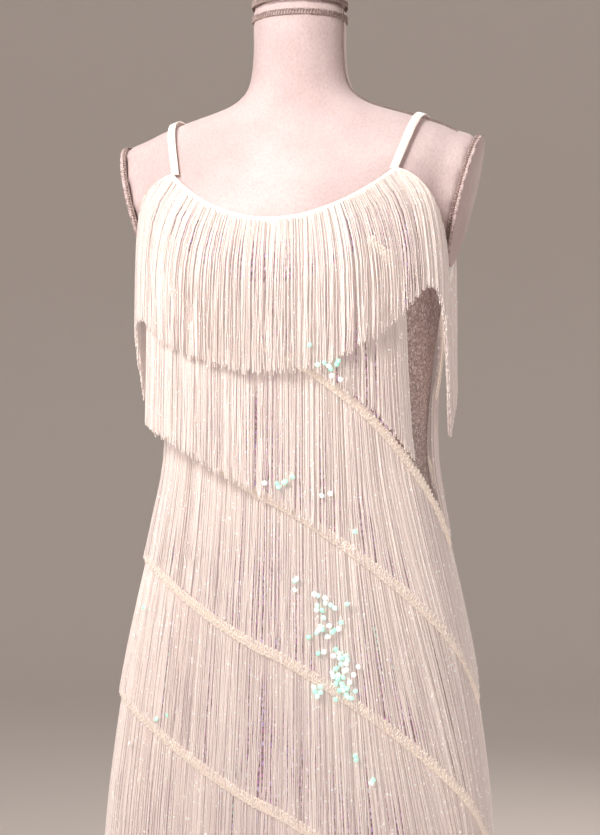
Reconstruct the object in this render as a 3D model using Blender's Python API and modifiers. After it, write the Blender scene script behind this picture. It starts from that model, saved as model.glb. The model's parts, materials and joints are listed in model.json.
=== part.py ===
"""Fringed flapper dress on a limbless dress form.

Metres, +Z up, the front faces -Y and the wearer's left is +X. The origin is on the floor, under the
middle of the stand. The shift dress is cut as a front and a back panel, hangs from two narrow straps,
and carries closed tilted rings of hanging fringe that meet at the side seams.
"""
import math

import bmesh
import bpy
import numpy as np
from mathutils import Matrix, Vector

# Cloth
CLOTH_WALL = 0.0015
FRINGE_WALL = 0.0020
SEAM_GAP = 0.0003
HEM_Z = 0.475
NECK_CENTRE_Z = 1.249
STRAP_POINT_Z = 1.299
UNDERARM_Z = 1.186
BACK_CENTRE_Z = 1.215
BACK_STRAP_POINT_Z = 1.282
STRAP_ANGLE = 37.0
NECK_CURVE = 1.7
ARMHOLE_CURVE = 1.6
STRAP_WIDTH = 0.008
STRAP_LIFT = 0.0040
STRAP_SPREAD = 0.018
STRAP_FLATNESS = 0.5
STRAP_STEPS = 8
CREST_SEARCH = 0.080
CREST_STEPS = 400
SIDE_REACH = 0.130

# Fringe rows
FRINGE_LENGTH = 0.150
TOP_INSET = 0.002
EDGE_INSET = 0.062
ROW_STEPS = 18
LEAST_ROW_STEPS = 6
SPAN_SAMPLES = 200
TIP_CLEARANCE = 0.004
LEAST_DROP = 0.030
FRINGE_END = 0.993
FAN_DROP = 0.030
FAN_PEAK = 2.6

# Each hang is: lift off the cloth at the header, lift at the tips, how plumb it hangs, fan in degrees.
TOP_HANG = (0.0033, 0.0123, 0.6, 5.0)
ROW_HANG = (0.0025, 0.0065, 0.3, 0.0)
LOOSE_ROW_HANG = (0.0025, 0.0065, 0.9, 0.0)

# Rows: middle height of the header, its tilt, how it hangs, and its end in front on the wearer's left.
ROWS = (
    (1.266, 0.90, ROW_HANG, 0.56),
    (1.106, 0.85, LOOSE_ROW_HANG, FRINGE_END),
    (0.959, 0.90, ROW_HANG, FRINGE_END),
    (0.812, 1.00, ROW_HANG, FRINGE_END),
    (0.664, 1.10, ROW_HANG, FRINGE_END),
    (0.512, 1.10, ROW_HANG, FRINGE_END),
)
# Rise of a header across a panel: a power series, high at the wearer's right and low at the left.
HEADER_SERIES = (0.022, -0.165, -0.050, 0.020, 0.0, 0.0, -0.030)
# The top fringe is trimmed shorter below the straps: place across, width and amount.
TOP_TRIMS = ((0.50, 0.20, 0.040), (-0.60, 0.20, 0.016))

# Dress form and stand
FORM_BOTTOM_Z = 0.700
NECK_TOP_Z = 1.482
ARM_CENTRE = (0.169, 0.002, 1.277)
ARM_TILT = 14.5
ARM_DEPTH_RADIUS = 0.044
ARM_HEIGHT_RADIUS = 0.066
ARM_LENGTH = 0.080
ARM_ROOT_SHARE = 1.10
PLATE_THICKNESS = 0.004
POLE_RADIUS = 0.014
BASE_RADIUS = 0.215
BASE_THICKNESS = 0.016
BASE_CROWN = 0.004
BASE_SLOPE = 0.010
BASE_RIM = 0.007
BASE_TOP_RADIUS = 0.045
PLATE_OVERHANG = 0.0015
FORM_SEGMENTS = 40
FORM_EXTRA_LEVELS = {0.75, 0.985, 1.065, 1.13, 1.225, 1.27, 1.345, 1.359}

# Sections are superellipses: height, half width across X, depth to the front and back, squareness.
FORM_SECTIONS = (
    (0.700, 0.150, 0.100, 0.108, 2.3),
    (0.800, 0.158, 0.108, 0.122, 2.3),
    (0.880, 0.152, 0.106, 0.118, 2.3),
    (0.940, 0.137, 0.098, 0.098, 2.2),
    (1.030, 0.120, 0.086, 0.073, 2.2),
    (1.100, 0.126, 0.097, 0.078, 2.3),
    (1.160, 0.137, 0.113, 0.087, 2.4),
    (1.200, 0.143, 0.120, 0.090, 2.4),
    (1.250, 0.152, 0.111, 0.091, 2.4),
    (1.290, 0.163, 0.092, 0.089, 2.4),
    (1.320, 0.170, 0.073, 0.082, 2.4),
    (1.338, 0.171, 0.062, 0.073, 2.3),
    (1.350, 0.156, 0.055, 0.063, 2.2),
    (1.364, 0.118, 0.050, 0.056, 2.1),
    (1.379, 0.072, 0.047, 0.051, 2.0),
    (1.392, 0.056, 0.046, 0.049, 2.0),
    (1.410, 0.050, 0.046, 0.048, 2.0),
    (1.440, 0.048, 0.046, 0.047, 2.0),
    (1.482, 0.049, 0.046, 0.047, 2.0),
)
DRESS_SECTIONS = (
    (0.475, 0.194, 0.146, 0.140, 2.3),
    (0.550, 0.191, 0.143, 0.137, 2.3),
    (0.660, 0.186, 0.138, 0.134, 2.3),
    (0.745, 0.178, 0.132, 0.131, 2.3),
    (0.810, 0.169, 0.127, 0.128, 2.3),
    (0.870, 0.158, 0.122, 0.123, 2.3),
    (0.940, 0.144, 0.116, 0.108, 2.3),
    (1.030, 0.130, 0.112, 0.086, 2.3),
    (1.100, 0.135, 0.118, 0.087, 2.3),
    (1.160, 0.143, 0.126, 0.093, 2.4),
    (1.200, 0.149, 0.128, 0.096, 2.4),
    (1.250, 0.158, 0.118, 0.097, 2.4),
    (1.290, 0.168, 0.099, 0.095, 2.4),
    (1.320, 0.172, 0.080, 0.088, 2.4),
)


def smooth_columns(rows, z):
    """Read every column of a section table at height z, through smooth curves that never overshoot."""
    table = np.array(rows)
    heights = table[:, 0]
    z = min(max(z, heights[0]), heights[-1])
    step = np.diff(heights)
    values = []
    for column in range(1, table.shape[1]):
        data = table[:, column]
        rise = np.diff(data) / step
        slope = np.zeros(len(data))
        slope[0] = rise[0]
        slope[-1] = rise[-1]
        for i in range(1, len(data) - 1):
            if rise[i - 1] * rise[i] > 0:
                slope[i] = 2 * rise[i - 1] * rise[i] / (rise[i - 1] + rise[i])
        i = min(int(np.searchsorted(heights, z, side="right")) - 1, len(step) - 1)
        u = (z - heights[i]) / step[i]
        values.append(
            (1 + 2 * u) * (1 - u) ** 2 * data[i]
            + u * (1 - u) ** 2 * step[i] * slope[i]
            + u * u * (3 - 2 * u) * data[i + 1]
            + u * u * (u - 1) * step[i] * slope[i + 1]
        )
    return values


def section_point(rows, angle, z):
    """Point of the section at height z; angle 0 is the centre front, 90 the wearer's left side."""
    half_width, front, back, squareness = smooth_columns(rows, z)
    s = math.sin(math.radians(angle))
    c = math.cos(math.radians(angle))
    depth = front if c > 0 else back
    x = half_width * math.copysign(abs(s) ** (2 / squareness), s)
    y = -depth * math.copysign(abs(c) ** (2 / squareness), c)
    return Vector((x, y, z))


def top_edge(angle):
    """Height of the dress's upper edge: scooped neckline up to the strap, armhole down to the side."""
    from_front = abs((angle + 180) % 360 - 180)
    at_front = from_front <= 90
    centre_z = NECK_CENTRE_Z if at_front else BACK_CENTRE_Z
    strap_z = STRAP_POINT_Z if at_front else BACK_STRAP_POINT_Z
    off_centre = from_front if at_front else 180 - from_front
    if off_centre <= STRAP_ANGLE:
        return centre_z + (strap_z - centre_z) * (off_centre / STRAP_ANGLE) ** NECK_CURVE
    down = (off_centre - STRAP_ANGLE) / (90 - STRAP_ANGLE)
    return strap_z - (strap_z - UNDERARM_Z) * down ** ARMHOLE_CURVE


def panel_angle(side, across):
    """Angle of a place across a panel, from -1 at the wearer's right side seam to 1 at the left one."""
    seam = 90 - math.degrees(SEAM_GAP / 2 / SIDE_REACH)
    return across * seam if side == "front" else 180 - across * seam


def new_material(name, colour, roughness, metallic=0.0):
    material = bpy.data.materials.new(name)
    material.use_nodes = True
    shader = material.node_tree.nodes["Principled BSDF"]
    shader.inputs["Base Color"].default_value = (*colour, 1.0)
    shader.inputs["Roughness"].default_value = roughness
    shader.inputs["Metallic"].default_value = metallic
    return material


def add_object(name, mesh, material, collection):
    item = bpy.data.objects.new(name, mesh)
    item.data.materials.append(material)
    collection.objects.link(item)
    return item


def grid_mesh(name, columns):
    """Open surface through columns of points; the faces point to the right of column order."""
    rows = len(columns[0])
    points = [point for column in columns for point in column]
    faces = []
    for i in range(len(columns) - 1):
        for j in range(rows - 1):
            first = i * rows + j
            faces.append((first, first + 1, first + rows + 1, first + rows))
    mesh = bpy.data.meshes.new(name)
    mesh.from_pydata(points, [], faces)
    mesh.shade_smooth()
    return mesh


def add_cloth(name, columns, wall, material, collection):
    """Cloth wall: an open surface given its thickness outward."""
    item = add_object(name, grid_mesh(name, columns), material, collection)
    solidify = item.modifiers.new("Wall", "SOLIDIFY")
    solidify.thickness = wall
    solidify.offset = 1.0
    solidify.use_even_offset = True
    return item


def add_panel(side, material, collection):
    """Front or back of the shift, from its upper edge to the hem."""
    across_steps = 24
    down_steps = 18
    columns = []
    for i in range(across_steps + 1):
        across = -1 + 2 * i / across_steps
        across = across if side == "front" else -across
        angle = panel_angle(side, across)
        top = top_edge(angle)
        column = []
        for j in range(down_steps + 1):
            down = (j / down_steps) ** 1.25
            column.append(section_point(DRESS_SECTIONS, angle, top + (HEM_Z - top) * down))
        columns.append(column)
    return add_cloth("dress_" + side, columns, CLOTH_WALL, material, collection)


def polar_radius(rows, polar, z):
    """Distance from the axis to the section at height z, in a compass direction (radians, 0 in front)."""
    half_width, front, back, squareness = smooth_columns(rows, z)
    depth = front if math.cos(polar) > 0 else back
    across = (abs(math.sin(polar)) / half_width) ** squareness
    along = (abs(math.cos(polar)) / depth) ** squareness
    return (across + along) ** (-1 / squareness)


def hanging_point(angle, header_z, drop, plumb, fan, lift):
    """Point of a fringe wall: it lies on the cloth, or hangs plumb below where the cloth is widest.

    A fan turns the strands outward from the middle just below the header, by so many degrees.
    """
    z = header_z - drop
    start = section_point(DRESS_SECTIONS, angle, header_z)
    polar = math.atan2(start.x, -start.y)
    turn = FAN_PEAK * math.sin(polar) ** 2 * abs(math.cos(polar)) * (1 - math.exp(-drop / FAN_DROP))
    polar += math.radians(fan) * math.copysign(turn, math.sin(2 * polar))
    widest = max(polar_radius(DRESS_SECTIONS, polar, header_z - drop * i / 6) for i in range(7))
    radius = polar_radius(DRESS_SECTIONS, polar, z)
    radius += plumb * (widest - radius)
    point = Vector((radius * math.sin(polar), -radius * math.cos(polar), z))
    half_width, front, back, squareness = smooth_columns(DRESS_SECTIONS, z)
    depth = front if point.y < 0 else back
    out_x = math.copysign((abs(point.x) / half_width) ** (squareness - 1) / half_width, point.x)
    out_y = math.copysign((abs(point.y) / depth) ** (squareness - 1) / depth, point.y)
    return point + Vector((out_x, out_y, 0)).normalized() * (CLOTH_WALL + lift)


def header_height(row, across):
    """Height of a row's header at a place across a panel."""
    middle, tilt = ROWS[row][:2]
    return middle + tilt * sum(share * across ** power for power, share in enumerate(HEADER_SERIES))


def top_ends(side, across):
    """Upper and lower end of the top fringe's strands."""
    upper = top_edge(panel_angle(side, across)) - TOP_INSET
    length = FRINGE_LENGTH
    if side == "front":
        for place, width, amount in TOP_TRIMS:
            length -= amount * math.exp(-((across - place) / width) ** 2)
    return upper, upper - length


def row_ends(side, row, across):
    """Upper and lower end of a row's strands: from its header, under the upper edge, to the next header."""
    upper = min(header_height(row, across), top_edge(panel_angle(side, across)) - EDGE_INSET)
    if row + 1 == len(ROWS):
        return upper, HEM_Z
    return upper, max(header_height(row + 1, across) + TIP_CLEARANCE, HEM_Z)


def add_fringe(name, side, span, ends, hang, steps, material, collection):
    """One fringe: a wall of its reach, from its header line down to its tips."""
    across_steps, down_steps = steps
    near, far, plumb, fan = hang
    columns = []
    for i in range(across_steps + 1):
        across = span[0] + (span[1] - span[0]) * i / across_steps
        upper, lower = ends(across)
        column = []
        for j in range(down_steps + 1):
            down = j / down_steps
            lift = near + (far - near) * down
            drop = (upper - lower) * down
            column.append(hanging_point(panel_angle(side, across), upper, drop, plumb, fan, lift))
        columns.append(column)
    if side == "back":
        columns.reverse()
    return add_cloth(name, columns, FRINGE_WALL, material, collection)


def row_span(side, row):
    """Stretch of a panel where a row has strands long enough to sew on."""
    end = ROWS[row][3] if side == "front" else FRINGE_END
    inside = []
    for i in range(SPAN_SAMPLES + 1):
        across = -FRINGE_END + (end + FRINGE_END) * i / SPAN_SAMPLES
        upper, lower = row_ends(side, row, across)
        if upper - lower > LEAST_DROP:
            inside.append(across)
    return min(inside), max(inside)


def add_fringe_rows(material, collection):
    """Top fringe on the neckline and armholes, and below it the tilted rings of the skirt."""
    for side in ("front", "back"):
        def ends_at_top(across, side=side):
            return top_ends(side, across)

        add_fringe("fringe_top_" + side, side, (-FRINGE_END, FRINGE_END), ends_at_top,
                   TOP_HANG, (28, 5), material, collection)
        for row in range(len(ROWS)):
            def ends_in_row(across, side=side, row=row):
                return row_ends(side, row, across)

            span = row_span(side, row)
            across_steps = max(LEAST_ROW_STEPS, round(ROW_STEPS * (span[1] - span[0]) / 2))
            add_fringe(f"fringe_{side}_{row + 1}", side, span, ends_in_row,
                       ROWS[row][2], (across_steps, 4), material, collection)


def strap_line(x):
    """Line over the form's shoulder from the front strap point at x to the back; it leans out at the crest."""
    crest_x = x + math.copysign(STRAP_SPREAD, x)
    crest_z = STRAP_POINT_Z
    for i in range(CREST_STEPS):
        z = STRAP_POINT_Z + i * CREST_SEARCH / CREST_STEPS
        if smooth_columns(FORM_SECTIONS, z)[0] > abs(crest_x):
            crest_z = z
    line = []
    for facing, start_z in ((-1, STRAP_POINT_Z), (1, BACK_STRAP_POINT_Z)):
        half = []
        for i in range(STRAP_STEPS + 1):
            rise = math.sin(math.radians(90 * i / STRAP_STEPS))
            z = start_z + (crest_z - start_z) * rise
            at_x = x + (crest_x - x) * rise
            half_width, front, back, squareness = smooth_columns(FORM_SECTIONS, z)
            share = max(1 - (abs(at_x) / half_width) ** squareness, 0)
            depth = front if facing < 0 else back
            half.append(Vector((at_x, facing * depth * share ** (1 / squareness), z)))
        line += half if facing < 0 else half[-2::-1]
    return line


def add_strap(name, sign, material, collection):
    """Narrow strap over one shoulder, just above the form, drawn flatter than the form's own curve."""
    strap_x = section_point(DRESS_SECTIONS, STRAP_ANGLE, STRAP_POINT_Z).x
    middle = strap_line(sign * strap_x)
    columns = []
    for edge in (-0.5, 0.0, 0.5):
        line = strap_line(sign * strap_x + edge * STRAP_WIDTH)
        for point, middle_point in zip(line, middle):
            point.y += STRAP_FLATNESS * (middle_point.y - point.y)
        lifted = []
        for i, point in enumerate(line):
            along = line[min(i + 1, len(line) - 1)] - line[max(i - 1, 0)]
            out = Vector((0, -along.z, along.y)).normalized()
            lifted.append(point + out * STRAP_LIFT)
        columns.append(lifted)
    lowest_gap = CLOTH_WALL + 2 * SEAM_GAP
    for column in columns:
        column[0].z = STRAP_POINT_Z + lowest_gap
        column[-1].z = BACK_STRAP_POINT_Z + lowest_gap
    return add_cloth(name, [column[::-1] for column in columns], CLOTH_WALL, material, collection)


def closed_loft(name, rings):
    """Closed body through level rings of equal length, with flat ends."""
    mesh = bpy.data.meshes.new(name)
    work = bmesh.new()
    loops = [[work.verts.new(point) for point in ring] for ring in rings]
    count = len(loops[0])
    for lower, upper in zip(loops, loops[1:]):
        for i in range(count):
            j = (i + 1) % count
            work.faces.new((lower[i], lower[j], upper[j], upper[i]))
    work.faces.new(loops[0][::-1])
    work.faces.new(loops[-1])
    bmesh.ops.recalc_face_normals(work, faces=work.faces)
    work.to_mesh(mesh)
    work.free()
    mesh.shade_smooth()
    return mesh


def arm_frame(sign):
    """Place and turn of one arm end: its Z axis runs outward through the oval plate."""
    x, y, z = ARM_CENTRE
    turn = Matrix.Rotation(math.radians(sign * (90 + ARM_TILT)), 4, "Y")
    return Matrix.Translation((sign * x, y, z)) @ turn


def oval_cylinder(name, sign, start, end, depth_radius, height_radius, start_share=1.0):
    """Oval cylinder or cone on the arm end's axis, between two distances from its plate."""
    mesh = bpy.data.meshes.new(name)
    work = bmesh.new()
    bmesh.ops.create_cone(work, cap_ends=True, segments=32, radius1=start_share, radius2=1,
                          depth=1)
    size = Matrix.Diagonal((height_radius, depth_radius, end - start, 1))
    shift = Matrix.Translation((0, 0, (start + end) / 2))
    bmesh.ops.transform(work, matrix=arm_frame(sign) @ shift @ size, verts=work.verts)
    work.to_mesh(mesh)
    work.free()
    return mesh


def add_form(material, collection, cutters):
    """Foam torso with its neck and two short arm ends, in one piece."""
    rings = []
    for z in sorted({row[0] for row in FORM_SECTIONS} | FORM_EXTRA_LEVELS):
        rings.append([section_point(FORM_SECTIONS, 360 * i / FORM_SEGMENTS, z) for i in range(FORM_SEGMENTS)])
    torso = add_object("form_torso", closed_loft("form_torso", rings), material, collection)
    for sign, side in ((1, "left"), (-1, "right")):
        name = "arm_end_" + side
        mesh = oval_cylinder(name, sign, -ARM_LENGTH, 0, ARM_DEPTH_RADIUS, ARM_HEIGHT_RADIUS, ARM_ROOT_SHARE)
        stub = add_object(name, mesh, material, cutters)
        stub.hide_render = True
        stub.display_type = "WIRE"
        union = torso.modifiers.new("Arm end " + side, "BOOLEAN")
        union.operation = "UNION"
        union.solver = "EXACT"
        union.object = stub
    return torso


def add_plates(material, collection):
    """Oval plates that close the arm ends, and the plate on top of the neck."""
    for sign, side in ((1, "left"), (-1, "right")):
        name = "form_arm_plate_" + side
        mesh = oval_cylinder(name, sign, SEAM_GAP, SEAM_GAP + PLATE_THICKNESS,
                             ARM_DEPTH_RADIUS + PLATE_OVERHANG, ARM_HEIGHT_RADIUS + PLATE_OVERHANG)
        add_object(name, mesh, material, collection)
    top = []
    for z in (NECK_TOP_Z + SEAM_GAP, NECK_TOP_Z + SEAM_GAP + PLATE_THICKNESS):
        ring = []
        for i in range(32):
            point = section_point(FORM_SECTIONS, 360 * i / 32, NECK_TOP_Z)
            ring.append(Vector((point.x, point.y, z)))
        top.append(ring)
    add_object("form_neck_plate", closed_loft("form_neck_plate", top), material, collection)


def add_stand(material, collection):
    """Round flat base turned as a profile, and the pole that carries the torso."""
    profile = (
        (0.0, BASE_THICKNESS + BASE_CROWN),
        (BASE_TOP_RADIUS, BASE_THICKNESS + BASE_CROWN),
        (BASE_RADIUS - BASE_SLOPE, BASE_THICKNESS - BASE_CROWN),
        (BASE_RADIUS, BASE_RIM),
        (BASE_RADIUS, 0.0),
        (0.0, 0.0),
    )
    mesh = bpy.data.meshes.new("stand_base")
    points = [(radius, 0, z) for radius, z in profile]
    mesh.from_pydata(points, [(i, i + 1) for i in range(len(points) - 1)], [])
    base = add_object("stand_base", mesh, material, collection)
    screw = base.modifiers.new("Turn", "SCREW")
    screw.steps = 48
    screw.render_steps = 48
    screw.use_merge_vertices = True
    screw.merge_threshold = 0.0001
    foot = BASE_THICKNESS + BASE_CROWN + SEAM_GAP
    bpy.ops.mesh.primitive_cylinder_add(vertices=24, radius=POLE_RADIUS,
                                        depth=FORM_BOTTOM_Z - SEAM_GAP - foot,
                                        location=(0, 0, (FORM_BOTTOM_Z - SEAM_GAP + foot) / 2))
    pole = bpy.context.active_object
    pole.name = "stand_pole"
    pole.data.materials.append(material)
    for owner in list(pole.users_collection):
        owner.objects.unlink(pole)
    collection.objects.link(pole)


def main():
    for item in list(bpy.data.objects):
        bpy.data.objects.remove(item)
    scene = bpy.context.scene
    parts = bpy.data.collections.new("flapper_dress_on_form")
    cutters = bpy.data.collections.new("guides")
    scene.collection.children.link(parts)
    scene.collection.children.link(cutters)

    add_panel("front", new_material("sequin_cloth_front", (0.62, 0.50, 0.52), 0.35), parts)
    add_panel("back", new_material("sequin_cloth_back", (0.62, 0.50, 0.52), 0.35), parts)
    add_fringe_rows(new_material("chainette_fringe", (0.88, 0.80, 0.74), 0.6), parts)
    strap_cloth = new_material("strap_satin", (0.90, 0.84, 0.78), 0.5)
    add_strap("strap_left", 1, strap_cloth, parts)
    add_strap("strap_right", -1, strap_cloth, parts)
    jersey = new_material("form_jersey", (0.86, 0.76, 0.72), 0.9)
    add_form(jersey, parts, cutters)
    add_plates(jersey, parts)
    add_stand(new_material("stand_paint", (0.75, 0.74, 0.72), 0.4), parts)


main()
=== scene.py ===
"""Looks of the fringed flapper dress on its dress form.

Metres, +Z up, the front faces -Y and the wearer's left is +X. The sections, the upper edge and the
fringe lines are those of the part, so every shell and strand lies on the solid it stands for.
"""
import json
import math
import random

import bmesh
import bpy
import numpy as np
from mathutils import Matrix, Vector

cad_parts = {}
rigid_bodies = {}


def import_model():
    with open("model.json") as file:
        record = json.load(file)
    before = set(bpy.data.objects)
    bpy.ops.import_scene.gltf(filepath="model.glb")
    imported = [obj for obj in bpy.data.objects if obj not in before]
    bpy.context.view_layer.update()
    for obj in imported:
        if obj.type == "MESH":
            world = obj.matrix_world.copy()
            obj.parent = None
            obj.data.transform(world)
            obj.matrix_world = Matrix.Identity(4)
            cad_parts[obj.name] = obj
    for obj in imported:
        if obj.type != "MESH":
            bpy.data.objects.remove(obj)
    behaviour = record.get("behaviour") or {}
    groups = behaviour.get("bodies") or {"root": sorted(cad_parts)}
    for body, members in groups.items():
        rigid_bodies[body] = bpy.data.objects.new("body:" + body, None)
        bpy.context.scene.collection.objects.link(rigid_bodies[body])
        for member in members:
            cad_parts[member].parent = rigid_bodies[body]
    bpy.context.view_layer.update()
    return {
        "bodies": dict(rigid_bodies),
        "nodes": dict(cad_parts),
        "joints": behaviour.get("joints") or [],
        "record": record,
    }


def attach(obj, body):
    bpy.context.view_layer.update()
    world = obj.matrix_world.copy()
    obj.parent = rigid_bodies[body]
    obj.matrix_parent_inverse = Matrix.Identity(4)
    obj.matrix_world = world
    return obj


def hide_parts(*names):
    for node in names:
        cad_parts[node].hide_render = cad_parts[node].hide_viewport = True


MM = 0.001

# Sizes shared with the part
CLOTH_WALL = 1.5 * MM
HEM_Z = 0.475
NECK_CENTRE_Z = 1.249
STRAP_POINT_Z = 1.299
UNDERARM_Z = 1.186
BACK_CENTRE_Z = 1.215
BACK_STRAP_POINT_Z = 1.282
STRAP_ANGLE = 37.0
NECK_CURVE = 1.7
ARMHOLE_CURVE = 1.6
STRAP_WIDTH = 8 * MM
STRAP_LIFT = 4.0 * MM
STRAP_SPREAD = 18 * MM
STRAP_FLATNESS = 0.5
FRINGE_LENGTH = 0.150
TOP_INSET = 2 * MM
EDGE_INSET = 62 * MM
TIP_CLEARANCE = 4 * MM
LEAST_DROP = 0.008
SPAN_SAMPLES = 200
FRINGE_END = 0.993
# Front and back strands run a little past the side seam, so that no gap shows there.
SIDE_MEET = 1.008
FAN_DROP = 0.030
FAN_PEAK = 2.6
# Each hang is: lift off the cloth at the header, lift at the tips, how plumb it hangs, fan in degrees.
TOP_HANG = (3.3 * MM, 12.3 * MM, 0.6, 5.0)
ROW_HANG = (2.5 * MM, 6.5 * MM, 0.3, 0.0)
LOOSE_ROW_HANG = (2.5 * MM, 6.5 * MM, 0.9, 0.0)
# Rows: middle height of the header, its tilt, how it hangs, and its end in front on the wearer's left.
ROWS = (
    (1.266, 0.90, ROW_HANG, 0.56),
    (1.106, 0.85, LOOSE_ROW_HANG, FRINGE_END),
    (0.959, 0.90, ROW_HANG, FRINGE_END),
    (0.812, 1.00, ROW_HANG, FRINGE_END),
    (0.664, 1.10, ROW_HANG, FRINGE_END),
    (0.512, 1.10, ROW_HANG, FRINGE_END),
)
# Rise of a header across a panel: a power series, high at the wearer's right and low at the left.
HEADER_SERIES = (0.022, -0.165, -0.050, 0.020, 0.0, 0.0, -0.030)
# The top fringe is trimmed shorter below the straps: place across, width and amount.
TOP_TRIMS = ((0.50, 0.20, 40 * MM), (-0.60, 0.20, 16 * MM))
SIDE_SEAM = 89.93
NECK_TOP_Z = 1.482
ARM_CENTRE = (0.169, 0.002, 1.277)
ARM_TILT = 14.5
ARM_DEPTH_RADIUS = 0.044
ARM_HEIGHT_RADIUS = 0.066
ARM_LENGTH = 0.080
ARM_ROOT_SHARE = 1.10
PLATE_GAP = 0.3 * MM
PLATE_THICKNESS = 4 * MM
PLATE_OVERHANG = 1.5 * MM

# Sections are superellipses: height, half width across X, depth to the front and back, squareness.
FORM_SECTIONS = (
    (0.700, 0.150, 0.100, 0.108, 2.3),
    (0.800, 0.158, 0.108, 0.122, 2.3),
    (0.880, 0.152, 0.106, 0.118, 2.3),
    (0.940, 0.137, 0.098, 0.098, 2.2),
    (1.030, 0.120, 0.086, 0.073, 2.2),
    (1.100, 0.126, 0.097, 0.078, 2.3),
    (1.160, 0.137, 0.113, 0.087, 2.4),
    (1.200, 0.143, 0.120, 0.090, 2.4),
    (1.250, 0.152, 0.111, 0.091, 2.4),
    (1.290, 0.163, 0.092, 0.089, 2.4),
    (1.320, 0.170, 0.073, 0.082, 2.4),
    (1.338, 0.171, 0.062, 0.073, 2.3),
    (1.350, 0.156, 0.055, 0.063, 2.2),
    (1.364, 0.118, 0.050, 0.056, 2.1),
    (1.379, 0.072, 0.047, 0.051, 2.0),
    (1.392, 0.056, 0.046, 0.049, 2.0),
    (1.410, 0.050, 0.046, 0.048, 2.0),
    (1.440, 0.048, 0.046, 0.047, 2.0),
    (1.482, 0.049, 0.046, 0.047, 2.0),
)
DRESS_SECTIONS = (
    (0.475, 0.194, 0.146, 0.140, 2.3),
    (0.550, 0.191, 0.143, 0.137, 2.3),
    (0.660, 0.186, 0.138, 0.134, 2.3),
    (0.745, 0.178, 0.132, 0.131, 2.3),
    (0.810, 0.169, 0.127, 0.128, 2.3),
    (0.870, 0.158, 0.122, 0.123, 2.3),
    (0.940, 0.144, 0.116, 0.108, 2.3),
    (1.030, 0.130, 0.112, 0.086, 2.3),
    (1.100, 0.135, 0.118, 0.087, 2.3),
    (1.160, 0.143, 0.126, 0.093, 2.4),
    (1.200, 0.149, 0.128, 0.096, 2.4),
    (1.250, 0.158, 0.118, 0.097, 2.4),
    (1.290, 0.168, 0.099, 0.095, 2.4),
    (1.320, 0.172, 0.080, 0.088, 2.4),
)

# Strands and trims
STRAND_RADIUS = 0.75 * MM
STRAND_PITCH = 1.5 * MM
STRAND_LAYERS = 3
STRAND_STEPS = 8
CHAIN_PITCH = 2.6 * MM
BRIGHT_RADIUS = 2.6 * MM
# Bright sequins: place round the body, height, spread of each, how many, and their lift off the cloth.
BRIGHT_GROUPS = (
    (20.5, 1.110, 2.6, 0.008, 9, 22.5 * MM),
    (3.5, 0.998, 2.2, 0.005, 6, 20.5 * MM),
    (19.0, 0.982, 0.6, 0.003, 2, 16.5 * MM),
    (28.0, 0.945, 0.5, 0.003, 1, 15.0 * MM),
    (6.0, 0.902, 1.0, 0.004, 3, 12.5 * MM),
    (17.0, 0.862, 2.6, 0.014, 22, 12.5 * MM),
    (21.0, 0.822, 3.0, 0.014, 28, 12.5 * MM),
    (18.0, 0.800, 3.6, 0.008, 12, 12.5 * MM),
    (23.0, 0.738, 0.6, 0.003, 2, 12.5 * MM),
    (29.0, 0.718, 0.6, 0.003, 2, 12.5 * MM),
    (-58.0, 0.860, 5.0, 0.020, 2, 12.5 * MM),
    (-35.0, 0.745, 8.0, 0.020, 3, 12.5 * MM),
)
HEADER_TAPE_LIFT = 6.4 * MM
HEADER_OVERLAP = 7 * MM
# Loops of the header braid: height above the header line, lift off the cloth, loop height.
HEADER_LOOPS = ((1.8 * MM, 8.4 * MM, 7.0 * MM), (-2.4 * MM, 8.0 * MM, 5.6 * MM))
# Lean of the front rows' strands toward the wearer's left: peak in degrees a metre, its angle and width.
LEAN_PEAK = 55.0
LEAN_ANGLE = 50.0
LEAN_WIDTH = 22.0
SHELL_WALL = 0.9 * MM
SEQUIN_RADIUS = 2.9 * MM
SEQUIN_LIFT = 0.25 * MM
SEQUIN_DEPTH = 0.35 * MM
SEQUIN_PITCH = 7.0 * MM
# Share of each half panel that carries sequins; beyond it the sides are plain glitter cloth.
SEQUIN_REACH = 0.62

# Colours, sRGB
FRINGE_CREAM = "F2E6DF"
FRINGE_SHADE = "D3C3BF"
HEADER_CREAM = "EEE0D4"
SATIN_WHITE = "FBF3EC"
JERSEY_ROSE = "D3BFBE"
SEQUIN_GROUND = "DCC8CF"
SEQUIN_PINK = "D795C0"
SEQUIN_LILAC = "C6AEE0"
SEQUIN_MINT = "CFF5E4"
STAND_WHITE = "E9E6E1"
THREAD_TAUPE = "B9A59F"
# Strength of the painted glow that the fringe cords give off, lifting their shade.
CORD_PAINTED_GLOW = 0.17
BINDING_WHITE = "FFFAF0"


def linear(hex_colour):
    """sRGB hex colour as linear RGBA."""
    channels = []
    for i in (0, 2, 4):
        value = int(hex_colour[i:i + 2], 16) / 255
        channels.append(value / 12.92 if value <= 0.04045 else ((value + 0.055) / 1.055) ** 2.4)
    return (*channels, 1.0)


# ---------------------------------------------------------------- shapes shared with the part

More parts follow.
